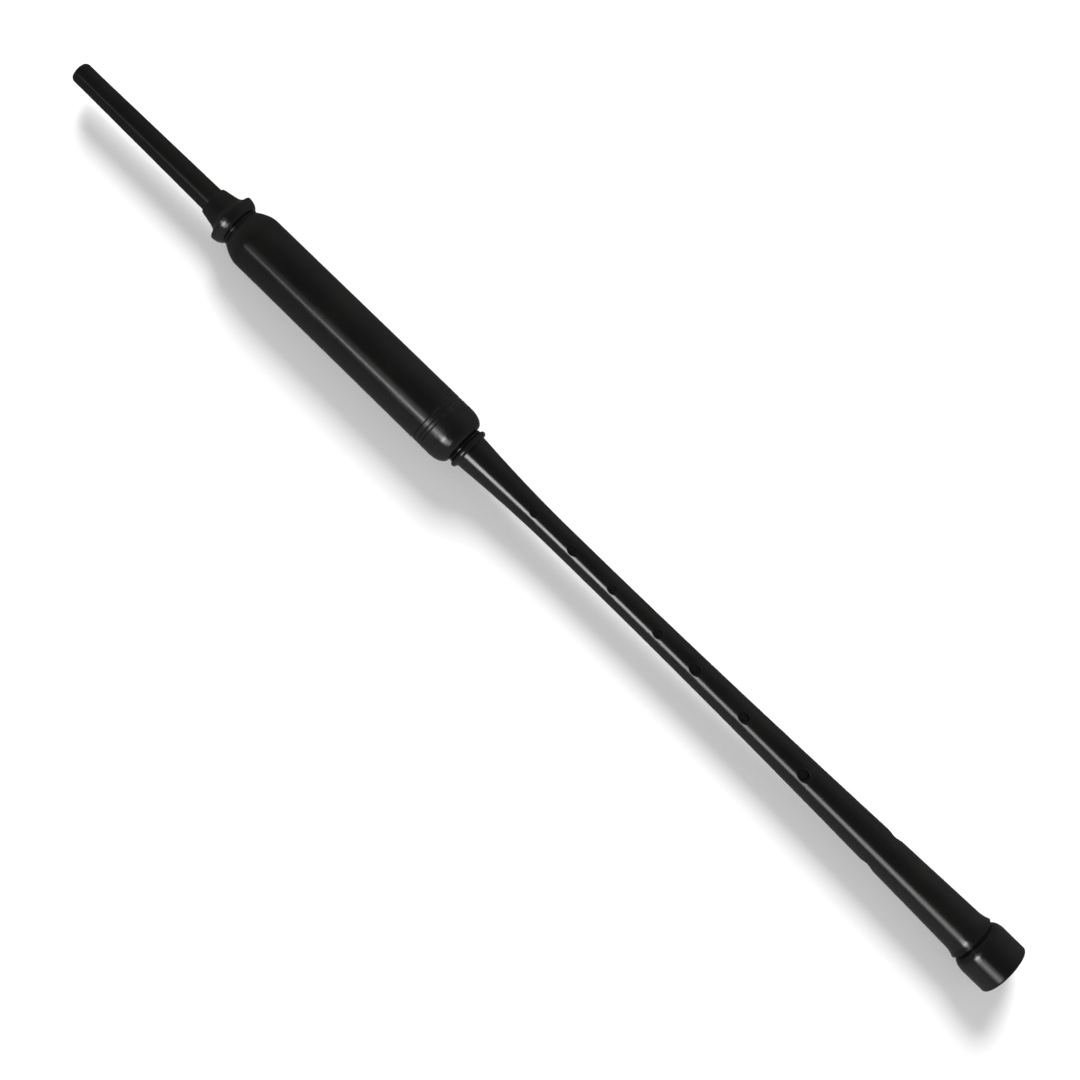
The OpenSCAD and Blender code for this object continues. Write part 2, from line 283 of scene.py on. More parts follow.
# Soft panels that only gloss sees, beside the pipe. For each: the slopes of the pipe's side, in degrees
# from level, that mirror the panel's edges to the camera, the stations it spans in metres, and its radiance
PANEL_DISTANCE = 1.2
PANELS = {
    "window_low": ((12, 27.5), (-0.6, -0.17), 1.5),
    "window_core": ((17, 24), (-0.6, -0.17), 2.4),
    "window_middle": ((15.5, 25.5), (-0.17, 0.12), 5.5),
    "window_high": ((14.6, 24.8), (0.12, 0.33), 14),
    "frame": ((18.8, 21.2), (0.34, 0.7), 3.4),
    "frame_far": ((17.5, 21.5), (0.7, 1.05), 0.7),
    "frame_bright": ((18.2, 20.8), (0.34, 0.54), 3.8),
    "frame_brightest": ((17.6, 20), (0.34, 0.43), 4),
    "wall": ((10, 18), (0.34, 0.75), 0.25),
    "wall_bright": ((7, 18), (0.34, 0.5), 0.55),
}


def make_camera():
    data = bpy.data.cameras.new("camera")
    data.lens = CAMERA_LENS
    data.sensor_width = 36
    data.clip_start = 0.01
    data.clip_end = 50
    camera = bpy.data.objects.new("camera", data)
    camera.location = (CAMERA_X * MM, CAMERA_Y * MM, CAMERA_HEIGHT * MM)
    camera.rotation_euler = (0, 0, CAMERA_TURN)
    bpy.context.collection.objects.link(camera)
    bpy.context.scene.camera = camera


def make_sun(name, azimuth, elevation, spread, strength, shadow=True):
    """A soft sun that shines from that azimuth, measured from +X towards +Y. Gloss doesn't see it."""
    data = bpy.data.lights.new(name, "SUN")
    data.energy = strength
    data.angle = math.radians(spread)
    data.use_shadow = shadow
    lamp = bpy.data.objects.new(name, data)
    a, e = math.radians(azimuth), math.radians(elevation)
    toward = Vector((math.cos(a) * math.cos(e), math.sin(a) * math.cos(e), math.sin(e)))
    lamp.rotation_euler = toward.to_track_quat("Z", "Y").to_euler()
    lamp.visible_glossy = False
    bpy.context.collection.objects.link(lamp)


def make_panel(name, tilts, ends, radiance):
    """A soft panel that only gloss sees, long along X and square to the pipe."""
    low, high = [math.radians(90 - 2 * tilt) for tilt in reversed(tilts)]
    data = bpy.data.lights.new(name, "AREA")
    data.shape = "RECTANGLE"
    data.size = ends[1] - ends[0]
    data.size_y = 2 * PANEL_DISTANCE * math.tan((high - low) / 2)
    data.energy = radiance * data.size * data.size_y * math.pi
    lamp = bpy.data.objects.new(name, data)
    middle = (low + high) / 2
    away = Vector((0, math.cos(middle), math.sin(middle)))
    along = Vector((1, 0, 0))
    turn = Matrix((along, away.cross(along), away)).transposed().to_4x4()
    centre = Vector(((ends[0] + ends[1]) / 2, 0, 0)) + away * PANEL_DISTANCE
    lamp.matrix_world = Matrix.Translation(centre) @ turn
    lamp.visible_diffuse = False
    lamp.visible_camera = False
    bpy.context.collection.objects.link(lamp)


def make_world():
    """White to the camera and a soft fill to matt surfaces. Gloss sees a dim room, palest low at +Y."""
    world = bpy.data.worlds.new("studio")
    world.use_nodes = True
    tree = world.node_tree
    tree.nodes.clear()
    path = add(tree, "ShaderNodeLightPath").outputs
    direction = add(tree, "ShaderNodeTexCoord").outputs["Generated"]
    toward = add(tree, "ShaderNodeSeparateXYZ", {0: direction}).outputs
    low = remap(tree, toward["Z"], (0.9, 0.2), (0.0, 1.0))
    under = remap(tree, toward["Z"], (0.1, -0.7), (1.0, 0.5))
    side = remap(tree, toward["Y"], (-0.5, 0.5), GLOSS_SIDES)
    far = remap(tree, toward["X"], (0.02, 0.24), (1.0, 0.45))
    height = combine(tree, "MULTIPLY", low, under)
    sides = combine(tree, "MULTIPLY", height, combine(tree, "MULTIPLY", side, far))
    room = combine(tree, "ADD", sides, GLOSS_TOP)
    fill = add(tree, "ShaderNodeBackground", {"Color": (1, 1, 1, 1), "Strength": FILL})
    dim = add(tree, "ShaderNodeBackground", {"Color": (0.95, 1, 0.97, 1), "Strength": room})
    white = add(tree, "ShaderNodeBackground", {"Color": (0.985, 0.98, 0.982, 1)})
    unseen = mixed_shader(tree, path["Is Glossy Ray"], fill, dim)
    seen = mixed_shader(tree, path["Is Camera Ray"], unseen, white)
    add(tree, "ShaderNodeOutputWorld", {"Surface": seen.outputs[0]})
    bpy.context.scene.world = world
    bpy.context.scene.view_settings.view_transform = "Standard"


def make_floor():
    """A plain pale floor under the object. Gloss doesn't see it."""
    z = cad_bounds[0].z
    half = FLOOR_HALF * MM
    mesh = bpy.data.meshes.new("floor")
    corners = [(x * half, y * half, z) for x, y in ((-1, -1), (1, -1), (1, 1), (-1, 1))]
    mesh.from_pydata(corners, [], [(0, 1, 2, 3)])
    floor = bpy.data.objects.new("floor", mesh)
    material, tree, shader = principled("pale_floor", {"Roughness": 0.9, "Specular IOR Level": 0.0})
    shader.inputs["Base Color"].default_value = (0.92, 0.914, 0.917, 1)
    mesh.materials.append(material)
    floor.visible_glossy = False
    bpy.context.collection.objects.link(floor)


# ---------------------------------------------------------------- materials

# The black plastic's darker and paler patches, its worn edges, and the paler colour of an air way, which is
# painted light inside the holes
PLASTIC_DARK = (0.0040, 0.0043, 0.0040, 1)
PLASTIC_PALE = (0.0056, 0.0058, 0.0052, 1)
PLASTIC_WORN = (0.011, 0.011, 0.0105, 1)
PLASTIC_BORE_PAINTED_LIGHT = (0.02, 0.02, 0.019, 1)

# Its roughness, and how much rougher it is where it is smeared, worn, drilled or left satin
PLASTIC_ROUGH = (0.16, 0.21)
SMEARED = 0.05
WORN = 0.06
DRILLED = 0.5
SATIN = 0.08

# Its specular level outside and in a hole
GLOSS = 0.5
HOLE_GLOSS = 0.12

# Thread, in the shade between fibres, on them, and where it is waxed
HEMP_DARK = (0.24, 0.14, 0.05, 1)
HEMP_LIGHT = (0.62, 0.45, 0.23, 1)
HEMP_WAXED = (0.42, 0.27, 0.1, 1)
THREAD_DARK = (0.13, 0.012, 0.01, 1)
THREAD_LIGHT = (0.42, 0.06, 0.045, 1)
THREAD_WAXED = (0.2, 0.02, 0.016, 1)

# The reed's two plastics, each a little cloudy
REED_DARK = (0.6, 0.52, 0.36, 1)
REED_LIGHT = (0.72, 0.65, 0.48, 1)
BLADE_DARK = (0.7, 0.64, 0.5, 1)
BLADE_LIGHT = (0.82, 0.78, 0.66, 1)

# The bridle's rubber, and its pale bloom
RUBBER_DARK = (0.016, 0.016, 0.017, 1)
RUBBER_BLOOM = (0.04, 0.039, 0.037, 1)


def add(tree, kind, inputs=None, **settings):
    """A new node with its settings made and its inputs set to values or linked to other outputs."""
    new = tree.nodes.new(kind)
    for name, value in settings.items():
        setattr(new, name, value)
    for name, value in (inputs or {}).items():
        if isinstance(value, bpy.types.NodeSocket):
            tree.links.new(value, new.inputs[name])
        else:
            new.inputs[name].default_value = value
    return new


def principled(name, constants):
    """A new material, its node tree and its shader, with the shader's constants set."""
    material = bpy.data.materials.new(name)
    material.use_nodes = True
    tree = material.node_tree
    shader = tree.nodes["Principled BSDF"]
    for socket, value in constants.items():
        shader.inputs[socket].default_value = value
    return material, tree, shader


def place_mm(tree, stretch=(1, 1, 1), shift=0.0):
    """The point on the piece in millimetres, stretched along each axis, for a texture to read."""
    here = add(tree, "ShaderNodeTexCoord").outputs["Object"]
    inputs = {"Vector": here, "Location": (shift, shift, shift), "Scale": [s / MM for s in stretch]}
    return add(tree, "ShaderNodeMapping", inputs).outputs[0]


def noise(tree, vector, scale, detail=3.0, roughness=0.5):
    inputs = {"Vector": vector, "Scale": scale, "Detail": detail, "Roughness": roughness}
    return add(tree, "ShaderNodeTexNoise", inputs).outputs["Fac"]


def remap(tree, value, old, new):
    """The value moved from the range old to the range new, and clamped."""
    inputs = {"Value": value, "From Min": old[0], "From Max": old[1], "To Min": new[0], "To Max": new[1]}
    return add(tree, "ShaderNodeMapRange", inputs).outputs[0]


def combine(tree, operation, a, b):
    return add(tree, "ShaderNodeMath", {0: a, 1: b}, operation=operation).outputs[0]


def raised(tree, value, share, amount):
    """The value with that share of the amount added."""
    return combine(tree, "ADD", value, combine(tree, "MULTIPLY", share, amount))


def mixed_shader(tree, share, a, b):
    return add(tree, "ShaderNodeMixShader", {0: share, 1: a.outputs[0], 2: b.outputs[0]})


def blended(tree, share, a, b):
    """A colour between a and b, which are colours or outputs. Sockets 6 and 7 are the node's colours."""
    return add(tree, "ShaderNodeMix", {0: share, 6: a, 7: b}, data_type="RGBA").outputs[2]


def wear_mask(tree, vector):
    """Patchy wear along the rounded edges, from the mesh's own wear attribute."""
    edge = add(tree, "ShaderNodeAttribute", attribute_name="wear").outputs["Fac"]
    patches = remap(tree, noise(tree, vector, 0.35, 4.0), (0.4, 0.65), (0.25, 1.0))
    return combine(tree, "MULTIPLY", edge, patches)


def black_plastic(name, shift, satin=None, holes=False):
    """Satin black plastic off a lathe: fine rings, hairline scratches, a few dull smears and worn edges.

    satin is an optional pair of stations between which the surface was left duller. holes says that
    the piece has drilled holes that dull its gloss. shift moves the pattern from piece to piece.
    """
    material, tree, shader = principled(name, {"IOR": 1.5, "Specular IOR Level": GLOSS})
    here = place_mm(tree, shift=shift)
    rings = noise(tree, place_mm(tree, (1, 0.01, 0.01), shift), 1.6, 3.0, 0.65)
    hairlines = noise(tree, place_mm(tree, (1, 0.06, 0.06), shift + 7), 9.0, 2.0, 0.6)
    smears = remap(tree, noise(tree, here, 0.11, 5.0, 0.6), (0.42, 0.7), (0.0, 1.0))
    worn = wear_mask(tree, here)
    drilled = add(tree, "ShaderNodeAttribute", attribute_name="drilled").outputs["Fac"]

    patches = remap(tree, noise(tree, here, 0.06, 4.0), (0.35, 0.65), (0.0, 1.0))
    shade = blended(tree, worn, blended(tree, patches, PLASTIC_DARK, PLASTIC_PALE), PLASTIC_WORN)
    # An air way is painted paler here: painted light inside the holes
    painted_bore_light = remap(tree, drilled, (IN_HOLE, IN_AIRWAY), (0.0, 1.0))
    tree.links.new(blended(tree, painted_bore_light, shade, PLASTIC_BORE_PAINTED_LIGHT), shader.inputs["Base Color"])

    rough = remap(tree, hairlines, (0.3, 0.75), PLASTIC_ROUGH)
    rough = raised(tree, rough, smears, SMEARED)
    rough = raised(tree, rough, worn, WORN)
    rough = raised(tree, rough, drilled, DRILLED)
    if satin:
        x = add(tree, "ShaderNodeSeparateXYZ", {0: place_mm(tree)}).outputs["X"]
        above = combine(tree, "GREATER_THAN", x, satin[0])
        below = combine(tree, "LESS_THAN", x, satin[1])
        rough = raised(tree, rough, combine(tree, "MULTIPLY", above, below), SATIN)
    tree.links.new(rough, shader.inputs["Roughness"])
    if holes:
        gloss = remap(tree, drilled, (OUTSIDE, IN_HOLE), (GLOSS, HOLE_GLOSS))
        tree.links.new(gloss, shader.inputs["Specular IOR Level"])

    relief = raised(tree, rings, hairlines, 0.25)
    bump = add(tree, "ShaderNodeBump", {"Strength": 0.25, "Distance": 0.01 * MM, "Height": relief})
    tree.links.new(bump.outputs[0], shader.inputs["Normal"])
    return material


def thread_material(name, dark, light, waxed):
    """Twisted fibre thread with wax in places. Fibres follow the mesh's own strand attribute."""
    material, tree, shader = principled(name, {"Sheen Weight": 0.25, "Sheen Roughness": 0.5, "IOR": 1.45})
    here = place_mm(tree)
    strand = add(tree, "ShaderNodeAttribute", attribute_name="strand").outputs["Vector"]
    fibres = noise(tree, strand, 3.0, 4.0, 0.7)
    patches = noise(tree, here, 0.5, 3.0)
    tint = blended(tree, remap(tree, fibres, (0.3, 0.7), (0.0, 1.0)), dark, light)
    shade = remap(tree, patches, (0.35, 0.7), (0.0, 0.55))
    tree.links.new(blended(tree, shade, tint, waxed), shader.inputs["Base Color"])
    tree.links.new(remap(tree, patches, (0.35, 0.7), (0.85, 0.5)), shader.inputs["Roughness"])
    bump = add(tree, "ShaderNodeBump", {"Strength": 0.5, "Distance": 0.06 * MM, "Height": fibres})
    tree.links.new(bump.outputs[0], shader.inputs["Normal"])
    return material


def moulded_plastic(name, dark, light, roughness, glow):
    """Pale moulded plastic, a little cloudy, with faint flow marks and scuffed edges."""
    constants = {"IOR": 1.49, "Subsurface Weight": glow, "Subsurface Scale": 0.6 * MM}
    material, tree, shader = principled(name, constants)
    here = place_mm(tree)
    flow = noise(tree, place_mm(tree, (0.25, 1, 1)), 0.5, 4.0)
    grain = noise(tree, here, 7.0, 2.0)
    worn = wear_mask(tree, here)
    tint = blended(tree, remap(tree, flow, (0.35, 0.65), (0.0, 1.0)), dark, light)
    scuffed = [min(1.0, c * 1.12) for c in light[:3]] + [1]
    tree.links.new(blended(tree, worn, tint, scuffed), shader.inputs["Base Color"])
    rough = remap(tree, flow, (0.3, 0.7), (roughness - 0.05, roughness + 0.08))
    tree.links.new(raised(tree, rough, worn, 0.1), shader.inputs["Roughness"])
    bump = add(tree, "ShaderNodeBump", {"Strength": 0.15, "Distance": 0.02 * MM, "Height": grain})
    tree.links.new(bump.outputs[0], shader.inputs["Normal"])
    return material


def rubber_material():
    """Matt black rubber with a fine grain and a pale bloom in patches."""
    material, tree, shader = principled("bridle_rubber", {"IOR": 1.5, "Specular IOR Level": 0.35})
    here = place_mm(tree)
    grain = noise(tree, here, 9.0, 4.0, 0.6)
    bloom = remap(tree, noise(tree, here, 0.6, 4.0), (0.4, 0.7), (0.0, 1.0))
    shade = blended(tree, bloom, RUBBER_DARK, RUBBER_BLOOM)
    tree.links.new(shade, shader.inputs["Base Color"])
    tree.links.new(remap(tree, grain, (0.3, 0.7), (0.62, 0.82)), shader.inputs["Roughness"])
    bump = add(tree, "ShaderNodeBump", {"Strength": 0.4, "Distance": 0.03 * MM, "Height": grain})
    tree.links.new(bump.outputs[0], shader.inputs["Normal"])
    return material


# ---------------------------------------------------------------- outlines of turned pieces

def arc(cx, cr, a, b, start, end, steps):
    """Points of an ellipse about (cx, cr) with half-axes a along X and b across it, in degrees."""
    turns = [math.radians(start + (end - start) * i / steps) for i in range(steps + 1)]
    return [(cx + a * math.cos(t), cr + b * math.sin(t)) for t in turns]


def stretch_of(radius, start, end, steps):
    """Points of the outline radius(x), a function, from start to end."""
    return [(x, radius(x)) for x in (start + (end - start) * i / steps for i in range(steps + 1))]


def soften(outer, bore, edge=EDGE_ROUND):
    """Rows (x, radius, wear, points round) of a closed outline with its sharp corners rounded.

    outer runs from the lower end to the upper and bore runs back. Wear is 1 on a rounding.
    """
    loop = [(x, r, AROUND) for x, r in outer] + [(x, r, BORE_AROUND) for x, r in bore]
    rows = []
    for i, (x, r, count) in enumerate(loop):
        here = Vector((x, r))
        into = here - Vector(loop[i - 1][:2])
        away = Vector(loop[(i + 1) % len(loop)][:2]) - here
        turn = into.angle(away)
        if turn < CORNER_ANGLE:
            rows.append((x, r, 0.0, count))
            continue
        widest = ROUNDED_SHARE * min(into.length, away.length)
        reach = min(edge * math.tan(min(turn, SHARPEST_CORNER) / 2), widest)
        start = here - into.normalized() * reach
        end = here + away.normalized() * reach
        for gap, wear in reversed(SUPPORTS):
            if reach + gap < SUPPORT_SHARE * into.length:
                rows.append((*(here - into.normalized() * (reach + gap)), wear, count))
        for step in range(CORNER_STEPS + 1):
            t = step / CORNER_STEPS
            rows.append((*(start * (1 - t) ** 2 + here * 2 * t * (1 - t) + end * t ** 2), 1.0, count))
        for gap, wear in SUPPORTS:
            if reach + gap < SUPPORT_SHARE * away.length:
                rows.append((*(here + away.normalized() * (reach + gap)), wear, count))
    return divided(rows)


def divided(rows):
    """The same rows with extra ones in long straight stretches."""
    result = []
    for here, after in zip(rows, rows[1:] + rows[:1]):
        result.append(here)
        steps = math.ceil(math.dist(here[:2], after[:2]) / LONGEST_STEP)
        for step in range(1, steps if here[3] == after[3] else 1):
            t = step / steps
            result.append(tuple(a + (b - a) * t for a, b in zip(here[:3], after[:3])) + (here[3],))
    return result


# ---------------------------------------------------------------- mesh building

class Shell:
    """Points in millimetres and faces between them, which become one mesh object."""

    def __init__(self):
        self.points = []
        self.wear = []
        self.drilled = []
        self.strand = {}
        self.faces = []

    def add(self, point, wear=0.0, drilled=OUTSIDE):
        self.points.append(point)
        self.wear.append(wear)
        self.drilled.append(drilled)
        return len(self.points) - 1

    def ring(self, x, r, count, wear=0.0):
        """A ring of points about X. One small enough to be in an air way is marked so."""
        turns = [2 * math.pi * i / count for i in range(count)]
        drilled = IN_AIRWAY if r < AIRWAY_R else OUTSIDE
        return [self.add((x, r * math.cos(t), r * math.sin(t)), wear, drilled) for t in turns]

    def strip(self, a, b, skip=()):
        """Faces between two closed rings. One may have twice as many points as the other."""
        if len(a) == len(b):
            for i in range(len(a)):
                j = (i + 1) % len(a)
                if i not in skip:
                    self.faces.append((a[i], a[j], b[j], b[i]))
            return
        fine, coarse = (a, b) if len(a) > len(b) else (b, a)
        for i in range(len(coarse)):
            j = (i + 1) % len(coarse)
            first, middle, last = fine[2 * i], fine[2 * i + 1], fine[(2 * i + 2) % len(fine)]
            self.faces.append((first, middle, coarse[i]))
            self.faces.append((middle, coarse[j], coarse[i]))
            self.faces.append((middle, last, coarse[j]))

    def lathe(self, rows, holes=()):
        """The closed solid that the rows sweep about X, drilled with the holes."""
        rings = [self.ring(x, r, count, wear) for x, r, wear, count in rows]
        for i, ring in enumerate(rings):
            after = (i + 1) % len(rings)
            middle = (rows[i][0] + rows[after][0]) / 2
            crossed = [hole for hole in holes if hole.low < middle < hole.high]
            skip = {cell for hole in crossed for cell in hole.cells(len(ring))}
            self.strip(ring, rings[after], skip)
        for hole in holes:
            hole.drill(self, rows, rings)

    def cap(self, ring):
        """Closes a small ring with a fan about its middle."""
        middle = sum((Vector(self.points[i]) for i in ring), Vector()) / len(ring)
        centre = self.add(tuple(middle))
        self.strand[centre] = self.strand.get(ring[0], (0, 0, 0))
        self.faces += [(ring[i], ring[(i + 1) % len(ring)], centre) for i in range(len(ring))]

    def tube(self, path, sections):
        """A closed tube along the path. sections gives the ring of points about each path point."""
        rings = []
        for i, here in enumerate(path):
            ahead = (path[min(i + 1, len(path) - 1)] - path[max(i - 1, 0)]).normalized()
            out = Vector((0, here.y, here.z)).normalized()
            side = ahead.cross(out).normalized()
            out = side.cross(ahead)
            ring = []
            for across, up, strand in sections(i):
                ring.append(self.add(tuple(here + side * across + out * up)))
                self.strand[ring[-1]] = strand
            rings.append(ring)
        for a, b in zip(rings, rings[1:]):
            self.strip(a, b)
        self.cap(rings[0])
        self.cap(rings[-1])

    def build(self, name, body, material, replaced):
        """The mesh object, riding on its body in place of the CAD node it replaces."""
        mesh = bpy.data.meshes.new(name)
        mesh.from_pydata([[c * MM for c in p] for p in self.points], [], self.faces)
        mesh.attributes.new("wear", "FLOAT", "POINT").data.foreach_set("value", self.wear)
        mesh.attributes.new("drilled", "FLOAT", "POINT").data.foreach_set("value", self.drilled)
        if self.strand:
            strand = mesh.attributes.new("strand", "FLOAT_VECTOR", "POINT").data
            for i, value in self.strand.items():
                strand[i].vector = value
        work = bmesh.new()
        work.from_mesh(mesh)
        bmesh.ops.delete(work, geom=[v for v in work.verts if not v.link_faces], context="VERTS")
        bmesh.ops.recalc_face_normals(work, faces=work.faces)
        for face in work.faces:
            face.smooth = True
        work.to_mesh(mesh)
        work.free()
        mesh.materials.append(material)
        piece = bpy.data.objects.new(name, mesh)
        bpy.context.collection.objects.link(piece)
        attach(piece, body)
        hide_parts(replaced)
        return piece


# ---------------------------------------------------------------- chanter and its dished holes

# Slope of the lower taper, far from where it runs out into the waist
TAPER_RISE = FOOT_R - WAIST_R
TAPER_SLOPE = math.sqrt(TAPER_RISE ** 2 + 2 * TAPER_RISE * WAIST_SOFTNESS) / (WAIST_LOW - FOOT_TOP)


def chanter_r(x):
    """Outside radius of the chanter between its foot and its neck."""
    if x < WAIST_LOW:
        return WAIST_R - WAIST_SOFTNESS + math.hypot(WAIST_SOFTNESS, TAPER_SLOPE * (WAIST_LOW - x))
    if x < WAIST_HIGH:
        return WAIST_R
    return WAIST_R + (NECK_R - WAIST_R) * ((x - WAIST_HIGH) / (NECK - WAIST_HIGH)) ** NECK_POWER


def foot_flare_r(x):
    """Concave flare from the taper out to the foot's sharp edge."""
    return FOOT_R + (FOOT_EDGE_R - FOOT_R) * ((FOOT_TOP - x) / FOOT_FLARE) ** FOOT_POWER


class Hole:
    """A dished hole through one wall of the chanter, from the outside into the bore."""

    def __init__(self, drop, mouth, turn, dish):
        self.x = SHOULDER - drop
        self.mouth = mouth
        self.turn = turn
        self.dish = dish
        self.low = self.x - mouth / 2 - WINDOW_MARGIN
        self.high = self.x + mouth / 2 + WINDOW_MARGIN
        self.top = chanter_r(self.x)
        self.straight_r = STRAIGHT_SHARE * mouth / 2

    def stations(self):
        """Where the rings across the hole's window stand."""
        return [self.low + (self.high - self.low) * i / WINDOW_LENGTH for i in range(WINDOW_LENGTH + 1)]

    def cells(self, count):
        """Which cells of a ring of that many points the hole's window covers."""
        middle = round(self.turn / 360 * count)
        return [(middle + i) % count for i in range(-WINDOW_WIDTH // 2, WINDOW_WIDTH // 2)]

    def window(self, rows, rings, count):
        """Points round the edge of the window in the rings that have that many points."""
        low, high = self.low - WINDOW_SLACK, self.high + WINDOW_SLACK
        alike = [(row[0], ring) for row, ring in zip(rows, rings) if row[3] == count]
        inside = [pair for pair in alike if low < pair[0] < high]
        across = [ring for _, ring in sorted(inside, key=lambda pair: pair[0])]
        middle = round(self.turn / 360 * count)
        half = WINDOW_WIDTH // 2
        edge = [(a, -half) for a in range(WINDOW_LENGTH)]
        edge += [(WINDOW_LENGTH, b) for b in range(-half, half)]
        edge += [(WINDOW_LENGTH - a, half) for a in range(WINDOW_LENGTH)]
        edge += [(0, -b) for b in range(-half, half)]
        return [across[a][(middle + b) % count] for a, b in edge]

    def local(self, point):
        """A point's place along the pipe, round it, and out along the hole's axis."""
        x, y, z = point
        t = math.radians(self.turn)
        return x - self.x, z * math.cos(t) - y * math.sin(t), y * math.cos(t) + z * math.sin(t)

    def world(self, along, around, out):
        """The point at a place that local gives."""
        t = math.radians(self.turn)
        return (
            self.x + along,
            out * math.cos(t) - around * math.sin(t),
            out * math.sin(t) + around * math.cos(t),
        )

    def polar(self, reach, angle, out):
        """The place that far from the hole's axis in that direction."""
        return reach * math.cos(angle), reach * math.sin(angle), out

    def surface(self, reach, angle):
        """Height of the pipe's outside, that far from the hole's axis in that direction."""
        along, around, _ = self.polar(reach, angle, 0)
        return math.sqrt(chanter_r(self.x + along) ** 2 - around ** 2)

    def cone(self, reach):
        """Height of the dish, that far from the hole's axis."""
        return self.top - self.dish * (self.mouth / 2 - reach)

    def mouth_reach(self, angle):
        """How far from the axis the dish comes out of the pipe's surface in that direction."""
        near, far = self.straight_r, self.mouth
        for _ in range(40):
            middle = (near + far) / 2
            if self.cone(middle) < self.surface(middle, angle):
                near = middle
            else:
                far = middle
        return near

    def column(self, outside, inside):
        """Rows (point, wear, drilled) down the hole between the window's points outside and in the bore."""
        along, around, _ = self.local(outside)
        angle = math.atan2(around, along)
        dish = self.dish_rows(angle, math.hypot(along, around))
        return dish + self.wall_rows(angle, dish[-1][0][2], inside)

    def dish_rows(self, angle, edge):
        """Rows over the skirt, the rounded mouth and the dish, to just inside the straight wall."""
        mouth = self.mouth_reach(angle)
        lip = min(MOUTH_ROUND, 0.4 * (mouth - self.straight_r) + 0.02)
        rows = []
        for share in SKIRT_SHARES:
            reach = edge + (mouth + lip - edge) * share
            rows.append((self.polar(reach, angle, self.surface(reach, angle)), 0.0, OUTSIDE))
        corner = Vector(self.polar(mouth, angle, self.surface(mouth, angle)))
        below = Vector(self.polar(mouth - lip, angle, self.cone(mouth - lip)))
        rows += self.rounded(Vector(rows[-1][0]), corner, below, MOUTH_WEAR)
        foot = Vector(self.polar(self.straight_r, angle, self.cone(self.straight_r)))
        above = foot.lerp(below, min(0.4, MOUTH_ROUND / max((below - foot).length, 0.01)))
        rows += [(tuple(below.lerp(above, share)), 0.0, IN_HOLE) for share in DISH_SHARES]
        return rows + self.rounded(above, foot, foot - Vector((0, 0, MOUTH_ROUND)), FOOT_WEAR)

    def wall_rows(self, angle, wall_top, inside):
        """Rows down the straight wall and on along the bore, nearly to the window's point there."""
        along, around, _ = self.local(inside)
        twist = (math.atan2(around, along) - angle + math.pi) % (2 * math.pi) - math.pi
        rows = []
        for share in WALL_SHARES:
            turned = angle + twist * share
            bottom = math.sqrt(BORE_R ** 2 - (self.straight_r * math.sin(turned)) ** 2)
            depth = wall_top + (bottom - wall_top) * share
            rows.append((self.polar(self.straight_r, turned, depth), 0.0, IN_HOLE))
        start = rows[-1][0]
        for share in BORE_SHARES:
            slant = math.asin(start[1] / BORE_R) * (1 - share) + math.asin(around / BORE_R) * share
            x = start[0] + (along - start[0]) * share
            rows.append(((x, BORE_R * math.sin(slant), BORE_R * math.cos(slant)), 0.0, IN_AIRWAY))
        return rows

    def rounded(self, start, corner, end, wear):
        """Rows after start on the rounding of a corner, end included."""
        shares = [(i + 1) / CORNER_STEPS for i in range(CORNER_STEPS)]
        curve = [start * (1 - t) ** 2 + corner * 2 * t * (1 - t) + end * t ** 2 for t in shares]
        return [(tuple(point), wear, IN_HOLE) for point in curve]

    def drill(self, shell, rows, rings):
        """Joins the two windows with the hole's walls."""
        outside = self.window(rows, rings, AROUND)
        inside = self.window(rows, rings, BORE_AROUND)
        columns = [self.column(shell.points[a], shell.points[b]) for a, b in zip(outside, inside)]
        last = outside
        for layer in zip(*columns):
            ring = [shell.add(self.world(*point), wear, drilled) for point, wear, drilled in layer]
            shell.strip(last, ring)
            last = ring
        shell.strip(last, inside)


def chanter_holes():
    fingers = [Hole(drop, mouth, 90, FINGER_DISH) for drop, mouth in FINGER_HOLES]
    thumb = Hole(*THUMB_HOLE, 270, FINGER_DISH)
    sound = [Hole(*SOUND_HOLE, turn, SOUND_DISH) for turn in (0, 180)]
    return fingers + [thumb] + sound


def pipe_stations(holes):
    """Stations from the foot to the neck, with even ones across every hole's window."""
    marks = {round(s, 6): None for hole in holes for s in hole.stations()}
    ends = sorted({hole.low: hole.high for hole in holes}.items())
    starts = [FOOT_TOP] + [high for _, high in ends]
    stops = [low for low, _ in ends] + [NECK]
    for start, stop in zip(starts, stops):
        steps = math.ceil((stop - start) / PIPE_STEP)
        marks.update({round(start + (stop - start) * i / steps, 6): None for i in range(steps + 1)})
    return sorted(marks)


